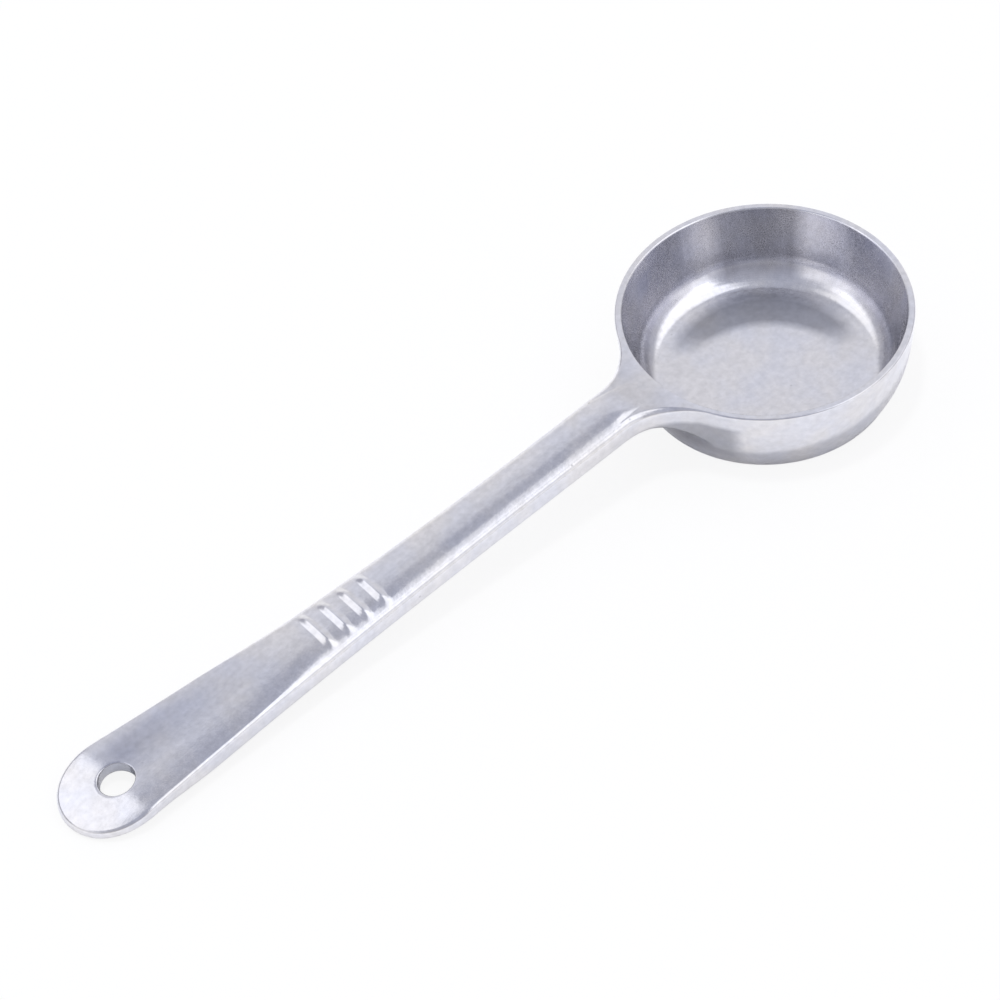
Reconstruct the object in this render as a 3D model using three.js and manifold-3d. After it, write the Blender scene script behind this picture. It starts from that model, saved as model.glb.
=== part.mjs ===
// Serving ladle: a round flat-bottomed bowl whose rim runs out into a short neck, and a long handle
// that widens to a rounded end with a hanging hole and dips until its tip stands on the table.
// Millimetres, +Z up, +X along the handle, origin at the centre of the bowl's base.

import * as THREE from 'three';
import { mergeVertices } from 'three/addons/utils/BufferGeometryUtils.js';
import Module from 'manifold-3d';

// Bowl, outside
const RIM_RADIUS = 35;
const BOWL_HEIGHT = 21;
const BASE_INSET = 4.9;          // the base is this much smaller in radius than the rim
const BASE_EDGE = 0.8;           // rounding where the wall meets the base
const KNEE_INSET = 1;            // the wall's curve bends towards a point this far inside the rim
const KNEE_HEIGHT = 8;           // and this high above the base
const KNEE_PULL = 0.85;          // how closely it follows the straight lines to that point, from 0 to 1
const LIP_WIDTH = 1.7;           // thickness of the wall at the rim
const LIP_EDGE = 0.4;            // rounding of both edges of the rim

// Bowl, inside
const INNER_DRAFT = 12;          // degrees that the inner wall leans in towards the floor
const FLOOR_THICKNESS = 2;
const FLOOR_FILLET = 7;

// Neck, cast on the bowl
const NECK_WIDTH = 13;
const NECK_FLARE = 18;           // plan radius between the neck's sides and the rim
const NECK_SINK = 0.2;           // depth that the flare's end runs into the wall
const NECK_STRAIGHT = 1.5;       // straight length from the flare to the joint with the handle
const NECK_RISE = 0.85;          // height of the neck's crown over the rim
const UNDER_FILLET = 9;          // radius between the neck's underside and the wall

// Handle
const HANDLE_RUN = 141.5;        // from the joint to the widest place of the end pad
const HANDLE_THICKNESS = 6.6;
const HANDLE_CROWN = 0.7;        // the top is this much higher in the middle than at its edges
const TOP_EDGE = 2.2;            // rounding along the top edges
const UNDER_EDGE = 1.2;          // rounding along the lower edges
const WIDENING_POWER = 2.4;      // how late along the run the sides open out
const JOINT_PITCH = -0.14;       // fall of the top per length of run, at the joint
const PAD_WIDTH = 24.4;
const PAD_END = 15.5;            // from the pad's widest place to the tip
const BEND_LEAD = 2;             // the top starts to dip this far before the pad's widest place
const BEND_HEIGHT = 6.2;         // height of the top over the table there
const BEND_PITCH = -0.085;
const DIP_RUN = 5;               // length over which the top bends down to the end's own slope
const DIP_PITCH = -0.22;
const TIP_THICKNESS = 2.65;
const THIN_LEAD = 20;            // the handle starts to thin this far before the pad's widest place
const THIN_THICKNESS = 5.4;      // thickness there
const THIN_PITCH = -0.085;       // fall of the underside there
const PAD_THICKNESS = 3.8;       // thickness at the pad's widest place
const PAD_UNDER_PITCH = -0.09;
const TIP_UNDER_PITCH = -0.2;

// Grip ribs across the handle's top
const RIB_COUNT = 4;
const RIB_PITCH = 5.4;
const RIB_WIDTH = 2.5;
const RIB_HEIGHT = 0.6;
const RIB_ROOT = 0.7;            // depth that a rib's bead goes down into the handle
const RIB_SIDE_GAP = 1.6;        // from a rib's end to the handle's side
const RIB_FROM_TIP = 71.5;       // from the tip to the last rib

// Hanging hole
const HOLE_DIAMETER = 8.5;
const HOLE_FROM_TIP = 14;
const HOLE_EDGE = 0.4;           // rounding of the hole's upper edge
const HOLE_UNDER_EDGE = 0.9;     // rounding of its lower edge
const CUT_MARGIN = 2;            // how far a cutting body passes the face that it leaves

// Facets
const BOWL_SEGMENTS = 72;
const WALL_STEPS = 14;
const ROUND_STEPS = 4;
const FILLET_STEPS = 8;
const CROWN_STEPS = 4;
const NECK_STEPS = 12;
const SIDE_STEPS = 30;
const END_STEPS = 24;
const HOLE_SEGMENTS = 32;

const ALUMINIUM = { color: 0xc8c9cc, roughness: 0.3, metalness: 1 };

// Places that follow from the sizes
const baseRadius = RIM_RADIUS - BASE_INSET;
const neckHalf = NECK_WIDTH / 2;
const padHalf = PAD_WIDTH / 2;
const jointX = flareEnd(RIM_RADIUS) + NECK_STRAIGHT;
const padX = jointX + HANDLE_RUN;
const tipX = padX + PAD_END;
const bendX = padX - BEND_LEAD;
const dipX = bendX + DIP_RUN;
const thinX = padX - THIN_LEAD;
const rootX = RIM_RADIUS - LIP_WIDTH;
const holeX = tipX - HOLE_FROM_TIP;

// Knots of the handle's side view: place along X, height and pitch
const topKnots = [
  { x: rootX, z: BOWL_HEIGHT - 0.1 * LIP_EDGE, pitch: NECK_RISE / (jointX - rootX) },
  { x: jointX, z: BOWL_HEIGHT + NECK_RISE, pitch: JOINT_PITCH },
  { x: bendX, z: BEND_HEIGHT, pitch: BEND_PITCH },
  { x: dipX, z: BEND_HEIGHT + DIP_RUN * (BEND_PITCH + DIP_PITCH) / 2, pitch: DIP_PITCH },
  { x: tipX, z: TIP_THICKNESS, pitch: DIP_PITCH },
];
const underKnots = [
  { x: rootX, z: BOWL_HEIGHT + NECK_RISE - HANDLE_THICKNESS, pitch: 0 },
  { x: jointX, z: BOWL_HEIGHT + NECK_RISE - HANDLE_THICKNESS, pitch: JOINT_PITCH },
  { x: thinX, z: topHeight(thinX) - THIN_THICKNESS, pitch: THIN_PITCH },
  { x: padX, z: topHeight(padX) - PAD_THICKNESS, pitch: PAD_UNDER_PITCH },
  { x: tipX - UNDER_EDGE, z: 0, pitch: TIP_UNDER_PITCH },
];

const underFillet = rolledFillet();

const wasm = await Module();
wasm.setup();

// Height of a smooth curve through knots, level beyond its ends
function heightOn(knots, x) {
  const last = knots.length - 1;
  if (x <= knots[0].x) return knots[0].z;
  if (x >= knots[last].x) return knots[last].z;
  const i = knots.findIndex((knot) => x < knot.x) - 1;
  const from = knots[i];
  const to = knots[i + 1];
  const run = to.x - from.x;
  const t = (x - from.x) / run;
  const rise = (1 + 2 * t) * (1 - t) ** 2 * from.z + t * t * (3 - 2 * t) * to.z;
  return rise + run * t * (1 - t) * ((1 - t) * from.pitch - t * to.pitch);
}

function topHeight(x) {
  return heightOn(topKnots, x);
}

// The underside, with the fillet that carries it down the bowl's wall
function underHeight(x) {
  const level = heightOn(underKnots, x);
  if (x >= underFillet.centre) return level;
  const across = underFillet.centre - Math.max(x, underFillet.touch);
  return level - UNDER_FILLET + Math.sqrt(UNDER_FILLET ** 2 - across ** 2);
}

// How far along the neck a place is: 0 where it leaves the rim, 1 from the joint on
function neckShare(x) {
  return THREE.MathUtils.clamp((x - rootX) / (jointX - rootX), 0, 1);
}

// The top is level with the rim at the bowl and fully crowned from the joint on
function crownAt(x) {
  return HANDLE_CROWN * neckShare(x);
}

// Side view of the outer wall: a conical foot that bends at the knee into the upright wall
function wallCurve() {
  const foot = new THREE.Vector2(baseRadius, BASE_EDGE);
  const knee = new THREE.Vector2(RIM_RADIUS - KNEE_INSET, KNEE_HEIGHT);
  const lip = new THREE.Vector2(RIM_RADIUS, BOWL_HEIGHT - LIP_EDGE);
  const footEnd = foot.clone().lerp(knee, KNEE_PULL);
  const lipEnd = lip.clone().lerp(knee, KNEE_PULL);
  return new THREE.CubicBezierCurve(foot, footEnd, lipEnd, lip);
}

// Outer radius of the bowl at a height
function wallRadius(z) {
  const curve = wallCurve();
  let low = 0;
  let high = 1;
  for (let i = 0; i < 40; i++) {
    const middle = (low + high) / 2;
    if (curve.getPoint(middle).y < z) low = middle;
    else high = middle;
  }
  return curve.getPoint(low).x;
}

// The fillet under the neck rolls along the underside until it touches the wall
function rolledFillet() {
  const curve = wallCurve();
  let low = 0;
  let high = 1;
  let wall;
  let centre;
  for (let i = 0; i < 40; i++) {
    const middle = (low + high) / 2;
    const along = curve.getTangent(middle);
    wall = curve.getPoint(middle);
    centre = wall.clone().add(new THREE.Vector2(along.y, -along.x).multiplyScalar(UNDER_FILLET));
    if (centre.y < underKnots[0].z - UNDER_FILLET) low = middle;
    else high = middle;
  }
  return { centre: centre.x, touch: wall.x };
}

// Where the flare that touches a circle round the bowl's axis runs into the neck's straight side
function flareEnd(radius) {
  return Math.sqrt((radius + NECK_FLARE) ** 2 - (NECK_WIDTH / 2 + NECK_FLARE) ** 2);
}

// Half width of the neck at a height, flared until it meets the wall
function neckHalfWidth(x, z) {
  const radius = wallRadius(z) - NECK_SINK;
  const end = flareEnd(radius);
  const touch = (end * radius) / (radius + NECK_FLARE);
  if (x >= end) return neckHalf;
  if (x <= touch) return Math.sqrt(radius ** 2 - x ** 2);
  return neckHalf + NECK_FLARE - Math.sqrt(NECK_FLARE ** 2 - (end - x) ** 2);
}

function handleHalfWidth(x) {
  const share = (x - jointX) / HANDLE_RUN;
  return neckHalf + (padHalf - neckHalf) * share ** WIDENING_POWER;
}

// Half of the bar's section, from the middle of the top over the edges to the middle of the underside.
// Each entry has its inset from the side, how far it is drawn to the middle, and its height.
function halfSection(x) {
  const crown = crownAt(x);
  const edge = topHeight(x) - crown - underHeight(x);
  const topRound = Math.min(TOP_EDGE, 0.5 * edge);
  const underRound = Math.min(UNDER_EDGE, 0.45 * edge);
  const rows = [];
  for (let i = 0; i < CROWN_STEPS; i++) {
    const out = i / CROWN_STEPS;
    rows.push({ inset: topRound, draw: 1 - out, height: (at) => topHeight(at) - crown * out ** 2 });
  }
  for (let i = 0; i <= ROUND_STEPS; i++) {
    const turn = (i / ROUND_STEPS) * (Math.PI / 2);
    const drop = crown + topRound * (1 - Math.cos(turn));
    rows.push({ inset: topRound * (1 - Math.sin(turn)), draw: 0, height: (at) => topHeight(at) - drop });
  }
  for (let i = 0; i <= ROUND_STEPS; i++) {
    const turn = (i / ROUND_STEPS) * (Math.PI / 2);
    const lift = underRound * (1 - Math.sin(turn));
    rows.push({ inset: underRound * (1 - Math.cos(turn)), draw: 0, height: (at) => underHeight(at) + lift });
  }
  rows.push({ inset: underRound, draw: 1, height: underHeight });
  return rows;
}

function closedGeometry(points, triangles) {
  const geometry = new THREE.BufferGeometry();
  geometry.setAttribute('position', new THREE.Float32BufferAttribute(points.flat(), 3));
  geometry.setIndex(triangles.flat());
  return geometry;
}

// Two triangles for each cell of a grid of points; the rows run from row 0 to the last
function gridTriangles(columns, rows) {
  const triangles = [];
  for (let i = 0; i + 1 < columns; i++) {
    for (let k = 0; k + 1 < rows; k++) {
      const a = i * rows + k;
      const b = a + rows;
      triangles.push([a, b, a + 1], [b, b + 1, a + 1]);
    }
  }
  return triangles;
}

function solidOf(geometry) {
  const bare = geometry.clone();
  bare.deleteAttribute('normal');
  bare.deleteAttribute('uv');
  const merged = mergeVertices(bare, 1e-4);
  const index = Array.from(merged.index.array);
  const kept = [];
  for (let i = 0; i < index.length; i += 3) {
    const [a, b, c] = index.slice(i, i + 3);
    if (a !== b && b !== c && c !== a) kept.push(a, b, c);
  }
  const mesh = new wasm.Mesh({
    numProp: 3,
    vertProperties: new Float32Array(merged.attributes.position.array),
    triVerts: new Uint32Array(kept),
  });
  return new wasm.Manifold(mesh);
}

function geometryOf(solid) {
  const mesh = solid.getMesh();
  const geometry = new THREE.BufferGeometry();
  geometry.setAttribute('position', new THREE.BufferAttribute(new Float32Array(mesh.vertProperties), 3));
  geometry.setIndex(new THREE.BufferAttribute(new Uint32Array(mesh.triVerts), 1));
  geometry.computeVertexNormals();
  return geometry;
}

function arcPoints(centreX, centreZ, radius, fromDegrees, toDegrees, steps) {
  const points = [];
  for (let i = 0; i <= steps; i++) {
    const turn = THREE.MathUtils.degToRad(fromDegrees + ((toDegrees - fromDegrees) * i) / steps);
    points.push(new THREE.Vector2(centreX + radius * Math.cos(turn), centreZ + radius * Math.sin(turn)));
  }
  return points;
}

// Revolve about the bowl's axis of a profile that starts and ends on it
function revolve(profile, segments) {
  const geometry = new THREE.LatheGeometry(profile, segments);
  return geometry.rotateX(Math.PI / 2);
}

// The bowl's outer body, still full
function bowlBody() {
  const wall = wallCurve().getPoints(WALL_STEPS);
  const profile = [
    new THREE.Vector2(0, 0),
    ...arcPoints(baseRadius - BASE_EDGE, BASE_EDGE, BASE_EDGE, -90, 0, ROUND_STEPS),
    ...wall.slice(1, -1),
    ...arcPoints(RIM_RADIUS - LIP_EDGE, BOWL_HEIGHT - LIP_EDGE, LIP_EDGE, 0, 90, ROUND_STEPS),
    new THREE.Vector2(0, BOWL_HEIGHT),
  ];
  return solidOf(revolve(profile, BOWL_SEGMENTS));
}

// The hollow: flat floor, fillet, leaning wall, and the rounding of the rim's inner edge
function bowlHollow() {
  const draft = THREE.MathUtils.degToRad(INNER_DRAFT);
  const mouth = RIM_RADIUS - LIP_WIDTH;
  const edgeBottom = BOWL_HEIGHT - LIP_EDGE;
  const filletZ = FLOOR_THICKNESS + FLOOR_FILLET;
  const tangentZ = filletZ - FLOOR_FILLET * Math.sin(draft);
  const tangentX = mouth - (edgeBottom - tangentZ) * Math.tan(draft);
  const filletX = tangentX - FLOOR_FILLET * Math.cos(draft);
  const profile = [
    new THREE.Vector2(0, FLOOR_THICKNESS),
    ...arcPoints(filletX, filletZ, FLOOR_FILLET, -90, -INNER_DRAFT, FILLET_STEPS),
    ...arcPoints(mouth + LIP_EDGE, edgeBottom, LIP_EDGE, 180, 90, ROUND_STEPS),
    new THREE.Vector2(mouth + LIP_EDGE, BOWL_HEIGHT + NECK_RISE + CUT_MARGIN),
    new THREE.Vector2(0, BOWL_HEIGHT + NECK_RISE + CUT_MARGIN),
  ];
  return solidOf(revolve(profile, BOWL_SEGMENTS));
}

// A point of the neck's section: its heights follow the round wall at the bowl and the straight bar at the joint
function neckPoint(row, x) {
  const firstY = (neckHalfWidth(x, row.height(x)) - row.inset) * (1 - row.draw);
  const z = row.height(THREE.MathUtils.lerp(Math.hypot(x, firstY), x, neckShare(x)));
  return [x, (neckHalfWidth(x, z) - row.inset) * (1 - row.draw), z];
}

// The neck from inside the rim to the flat joint face, as sections across X
function neckBody() {
  const startX = flareEnd(RIM_RADIUS - BASE_INSET) * (RIM_RADIUS / (RIM_RADIUS + NECK_FLARE));
  const points = [];
  for (let i = 0; i <= NECK_STEPS; i++) {
    const x = THREE.MathUtils.lerp(startX, jointX, i / NECK_STEPS);
    const half = halfSection(x).map((row) => neckPoint(row, x));
    const mirrored = half.slice(0, -1).reverse().map(([px, py, pz]) => [px, -py, pz]);
    points.push(...half, ...mirrored);
  }
  const around = points.length / (NECK_STEPS + 1);
  const triangles = gridTriangles(NECK_STEPS + 1, around);
  const last = NECK_STEPS * around;
  for (let k = 1; k + 1 < around; k++) {
    triangles.push([0, k, k + 1], [last, last + k + 1, last + k]);
  }
  return solidOf(closedGeometry(points, triangles));
}

// Plan outline of the handle, from the joint along one side, round the tip and back along the other
function handleOutline() {
  const side = [];
  for (let i = 0; i < SIDE_STEPS; i++) {
    const x = jointX + (HANDLE_RUN * i) / SIDE_STEPS;
    side.push(new THREE.Vector2(x, handleHalfWidth(x)));
  }
  const end = [];
  for (let i = 0; i <= END_STEPS; i++) {
    const turn = Math.PI / 2 - (Math.PI * i) / END_STEPS;
    end.push(new THREE.Vector2(padX + PAD_END * Math.cos(turn), padHalf * Math.sin(turn)));
  }
  const back = side.map((point) => new THREE.Vector2(point.x, -point.y)).reverse();
  return [...side, ...end, ...back];
}

function inwardNormals(outline) {
  return outline.map((point, i) => {
    if (i === 0) return new THREE.Vector2(0, -1);
    if (i === outline.length - 1) return new THREE.Vector2(0, 1);
    const along = outline[i + 1].clone().sub(outline[i - 1]).normalize();
    return new THREE.Vector2(along.y, -along.x);
  });
}

// The bar of the handle: its section carried round the outline and drawn in to the middle line
function handleBar() {
  const outline = handleOutline();
  const normals = inwardNormals(outline);
  const points = [];
  outline.forEach((point, i) => {
    const middle = new THREE.Vector2(Math.min(point.x, padX), 0);
    for (const row of halfSection(point.x)) {
      const place = point.clone().addScaledVector(normals[i], row.inset).lerp(middle, row.draw);
      points.push([place.x, place.y, row.height(place.x)]);
    }
  });
  const rows = points.length / outline.length;
  const triangles = gridTriangles(outline.length, rows);
  const far = (outline.length - 1) * rows;
  for (let k = 0; k + 1 < rows; k++) {
    triangles.push([k, k + 1, far + k], [far + k, k + 1, far + k + 1]);
  }
  return solidOf(closedGeometry(points, triangles));
}

// One rib: a round-ended bead across the handle that follows its crown
function ribBody(x) {
  const halfWidth = handleHalfWidth(x);
  const radius = RIB_WIDTH / 2;
  const length = 2 * (halfWidth - RIB_SIDE_GAP - radius);
  const bead = new THREE.CapsuleGeometry(radius, length, ROUND_STEPS, 4 * ROUND_STEPS, 6);
  bead.scale(1, 1, (RIB_HEIGHT + RIB_ROOT) / radius);
  const place = bead.attributes.position;
  for (let i = 0; i < place.count; i++) {
    const fall = HANDLE_CROWN * (place.getY(i) / halfWidth) ** 2;
    place.setZ(i, place.getZ(i) - fall);
  }
  return solidOf(bead.translate(x, 0, topHeight(x) - RIB_ROOT));
}

// Cutting body of the hanging hole, square to the pad, with its two edges rounded
function holeBody() {
  const radius = HOLE_DIAMETER / 2;
  const top = topHeight(holeX);
  const under = underHeight(holeX);
  const reach = (top - under) / 2;
  const profile = [
    new THREE.Vector2(0, -reach - CUT_MARGIN),
    new THREE.Vector2(radius + HOLE_UNDER_EDGE, -reach - CUT_MARGIN),
    ...arcPoints(radius + HOLE_UNDER_EDGE, HOLE_UNDER_EDGE - reach, HOLE_UNDER_EDGE, 270, 180, ROUND_STEPS),
    ...arcPoints(radius + HOLE_EDGE, reach - HOLE_EDGE, HOLE_EDGE, 180, 90, ROUND_STEPS),
    new THREE.Vector2(radius + HOLE_EDGE, reach + CUT_MARGIN),
    new THREE.Vector2(0, reach + CUT_MARGIN),
  ];
  const slope = (topHeight(holeX + radius) - topHeight(holeX - radius)) / HOLE_DIAMETER;
  const cutter = revolve(profile, HOLE_SEGMENTS);
  cutter.rotateY(-Math.atan(slope));
  return solidOf(cutter.translate(holeX, 0, (top + under) / 2));
}

function bowlGeometry() {
  return geometryOf(bowlBody().add(neckBody()).subtract(bowlHollow()));
}

function handleGeometry() {
  let handle = handleBar();
  for (let i = 0; i < RIB_COUNT; i++) {
    handle = handle.add(ribBody(tipX - RIB_FROM_TIP - i * RIB_PITCH));
  }
  return geometryOf(handle.subtract(holeBody()));
}

function piece(name, geometry) {
  const mesh = new THREE.Mesh(geometry, new THREE.MeshStandardMaterial(ALUMINIUM));
  mesh.name = name;
  return mesh;
}

const ladle = new THREE.Group();
ladle.name = 'ladle';
ladle.add(piece('bowl', bowlGeometry()));
ladle.add(piece('handle', handleGeometry()));

export default ladle;
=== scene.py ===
import bisect
import math

import bmesh
import bpy
from bpy.props import FloatProperty, FloatVectorProperty, IntProperty, PointerProperty
from mathutils import Matrix, Vector


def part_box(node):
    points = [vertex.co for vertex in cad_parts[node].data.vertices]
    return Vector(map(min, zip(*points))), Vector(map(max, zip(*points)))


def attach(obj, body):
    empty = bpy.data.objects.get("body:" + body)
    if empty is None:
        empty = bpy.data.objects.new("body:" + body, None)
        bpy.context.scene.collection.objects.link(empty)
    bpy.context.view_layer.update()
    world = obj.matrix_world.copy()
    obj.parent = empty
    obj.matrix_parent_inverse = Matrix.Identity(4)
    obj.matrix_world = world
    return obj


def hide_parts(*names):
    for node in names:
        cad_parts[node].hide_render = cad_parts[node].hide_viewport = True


bl_info = {
    "name": "Serving Ladle",
    "version": (1, 0, 0),
    "blender": (4, 5, 0),
    "location": "View3D > Sidebar > Ladle",
    "description": "Builds a small cast aluminium serving ladle and its studio",
    "category": "Add Mesh",
}

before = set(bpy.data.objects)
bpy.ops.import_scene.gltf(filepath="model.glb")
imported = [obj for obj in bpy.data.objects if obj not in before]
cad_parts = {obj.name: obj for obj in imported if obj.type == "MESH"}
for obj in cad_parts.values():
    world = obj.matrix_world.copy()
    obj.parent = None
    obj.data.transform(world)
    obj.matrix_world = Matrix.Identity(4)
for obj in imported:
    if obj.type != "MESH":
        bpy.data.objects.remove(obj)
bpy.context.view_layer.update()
BOWL_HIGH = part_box("bowl")[1]
HANDLE_LOW, HANDLE_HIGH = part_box("handle")

# Rows and columns of the fine mesh, for one half of the ladle
RIM_COLUMNS = 84
FLARE_COLUMNS = 30
STRAIGHT_COLUMNS = 3
END_COLUMNS = 40
ACROSS_ROWS = 16
FLOOR_ROWS = 12
FILLET_ROWS = 16
WALL_ROWS = 12
ROUND_ROWS = 7
SIDE_ROWS = 14
BAR_STEP = 0.0022
RIB_STEP = 0.00032
BOWL_FACES = 0
HANDLE_FACES = 1

# Steps of the searches along the curves
CURVE_STEPS = 400
TOUCH_STEPS = 300
HALVINGS = 40

# Most of a side's height that its upper and its lower rounding may take
TOP_EDGE_SHARE = 0.5
UNDER_EDGE_SHARE = 0.45

# From the hanging hole to where the mesh starts to run round it, and the gap that closes between grids
HOLE_MARGIN = 0.004
WELD_DISTANCE = 0.000002

# Noise of the tumbled skin: spans of the noise that count, and what they change
CLOUD_SPAN = (0.38, 0.62)
NOISE_SPAN = (0.3, 0.7)
NOISE_ROUGHNESS = 0.55
MOTTLE_SHADES = (0.93, 1.06)
CLOUD_BLUR = (-0.04, 0.05)
GRAIN_BLUR = (-0.05, 0.06)
GRAIN_HEIGHT = 0.15
CLOUD_DETAIL = 3.0
FINE_DETAIL = 2.0
PORE_SCALE = 0.45
PORE_LUCK = 0.86
PORE_EDGE = (0.05, 0.11)
PORE_SHADE = 0.25
PORE_DEPTH = 0.6

# Polishing streaks: shades and heights that they give the wall and the bar
FULL_TONE = (0.0, 1.0)
WALL_STREAK_SHADES = (-0.06, 0.06)
WALL_STREAK_HEIGHT = 0.6
BAR_STREAK_SHADES = (0.98, 1.02)
BAR_STREAK_HEIGHT = 0.25

# How far the bowl's inner wall faces outward where its finish ends
WALL_FACING = (-0.8, -0.4)

# Steps of the inner wall's painted reflection tone away from the dark band: two angles in degrees, and the
# change
BAND_STEPS = ((15, 22, 0.58), (28, 35, -0.1), (37, 45, 0.25), (58, 76, -0.4))

# Warmer flanks of the painted dark reflection band, where the painted cool tint stays off: their angle from
# its middle, and their soft edge
FLANK_BEARING = math.radians(24)
FLANK_EDGE = (math.radians(3), math.radians(10))

# Edge of the bowl's floor as shares of the base's radius, and its height and facing
FLOOR_EDGE = (0.7, 0.8)
FLOOR_TOP = (0.003, 0.004)
FLOOR_FACING = (0.0, 0.5)

# Circle on the floor that keeps its plain tone, and the painted darker crescent beside it
PLAIN_CIRCLE_SHIFT = 0.006
PLAIN_CIRCLE_EDGE = (0.0187, 0.0213)
CRESCENT_SPAN = (0.0045, 0.0115)
CRESCENT_REST = 0.06

# Painted shade on the wall under the neck, as spans over which it ends
UNDER_NECK_BEARING = (math.radians(35), math.radians(41))
UNDER_NECK_TOP = (0.0158, 0.0172)
UNDER_NECK_FOOT = (0.001, 0.0095)
UNDER_NECK_REACH = (0.04, 0.047)
UNDER_NECK_FACING = (0.0, 0.5)

# Painted highlight on the neck's edges and the painted darker tone on its top, as spans over which they start
# and end
HIGHLIGHT_START = (0.036, 0.041)
HIGHLIGHT_SIDE = (0.0065, 0.0085)
HIGHLIGHT_FOOT = (0.0165, 0.0175)
HIGHLIGHT_STEEP = (0.3, 0.6)
HIGHLIGHT_LEVEL = (0.97, 0.995)
NECK_START = (0.033, 0.038)
NECK_END = (0.042, 0.048)
NECK_FACING = (0.8, 0.95)

# Painted darker, cooler patch on the bar's end, as spans along it and across it, with what is left at its
# near and far side
END_PATCH_START = (0.14, 0.185)
END_PATCH_END = (0.187, 0.194)
END_PATCH_MIDDLE = (-0.004, 0.003)
END_PATCH_NEAR_REST = 0.02
END_PATCH_FAR = (-0.0105, -0.007)
END_PATCH_FAR_REST = 0.2

# How fast the painted cool tint comes in with the bowl's painted darkening and with the bar end's painted
# patch
DARKENING_COOLING = 2.0
END_PATCH_COOLING = 2.8

# Bright windows of the studio: bearing, half width, low, high and soft edge in degrees, and strength
STUDIO_WINDOWS = (
    (148.0, 46.0, 39.0, 60.0, 5.0, 1.05),
    (160.0, 46.0, 60.0, 79.0, 5.0, 1.0),
    (111.0, 14.0, 8.0, 42.0, 5.0, 0.55),
    (301.0, 34.0, 37.0, 60.0, 5.0, 0.88),
    (289.0, 21.0, 60.0, 69.0, 5.0, 0.88),
    (351.0, 20.0, 8.0, 54.0, 8.0, 0.42),
    (229.0, 34.0, 5.0, 56.0, 4.0, 0.38),
)

# Tones of the studio's dome: the height as a share of the zenith's, and the colour there
DOME_TONES = (
    (0.14, (1.0, 1.0, 1.02, 1.0)),
    (0.32, (0.55, 0.55, 0.62, 1.0)),
    (0.95, (0.57, 0.59, 0.7, 1.0)),
)
WHITE = (1.0, 1.0, 1.0, 1.0)

# Corners of the round table
TABLE_CORNERS = 96

# Kinds of sockets that node groups have
VALUE_SOCKET = "NodeSocketFloat"
COLOUR_SOCKET = "NodeSocketColor"


def length(name, description, default):
    """A size in metres for the panel."""
    return FloatProperty(name=name, description=description, default=default, unit="LENGTH", precision=5)


def slope(name, description, default):
    """A slope, as rise over run, for the panel."""
    return FloatProperty(name=name, description=description, default=default, precision=4)


def degrees(name, description, default):
    """An angle for the panel, written in degrees here."""
    return FloatProperty(name=name, description=description, default=math.radians(default), subtype="ANGLE")


def factor(name, description, default):
    """A share from 0 to 1 for the panel."""
    return FloatProperty(
        name=name, description=description, default=default, subtype="FACTOR", min=0.0, max=1.0
    )


def number(name, description, default):
    """A plain number for the panel."""
    return FloatProperty(name=name, description=description, default=default)


def colour(name, description, default):
    """A colour for the panel."""
    return FloatVectorProperty(
        name=name, description=description, default=default, subtype="COLOR", size=3, min=0.0, max=1.0
    )


def tint(name, description, default):
    """A tint for the panel, which a colour is multiplied by."""
    return FloatVectorProperty(name=name, description=description, default=default, size=3, min=0.0)


class LadleBowlSizes(bpy.types.PropertyGroup):
    """Sizes of the round bowl"""

    rim_radius: length("Rim radius", "Outer radius of the rim", BOWL_HIGH.y)
    height: length("Height", "From the table to the top of the rim", 0.021)
    base_radius: length("Base radius", "Radius of the flat base with its rounded edge", 0.0301)
    base_edge: length("Base edge", "Rounding between the base and the wall", 0.0008)
    knee_radius: length("Knee radius", "Radius that the wall's curve bends towards", 0.034)
    knee_height: length("Knee height", "Height of the wall's bend", 0.008)
    knee_pull: number("Knee pull", "How closely the wall follows straight lines to its bend", 0.85)
    lip_width: length("Lip width", "Wall thickness at the rim", 0.0017)
    lip_edge: length("Lip edge", "Rounding of the rim's two edges", 0.0004)
    inner_draft: degrees("Inner draft", "Lean of the inner wall", 12)
    floor_thickness: length("Floor thickness", "Metal under the middle of the bowl's floor", 0.0012)
    floor_dish: length("Floor dish", "How far the floor rises towards its edge", 0.0015)
    floor_fillet: length("Floor fillet", "Radius between the floor and the inner wall", 0.007)


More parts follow.
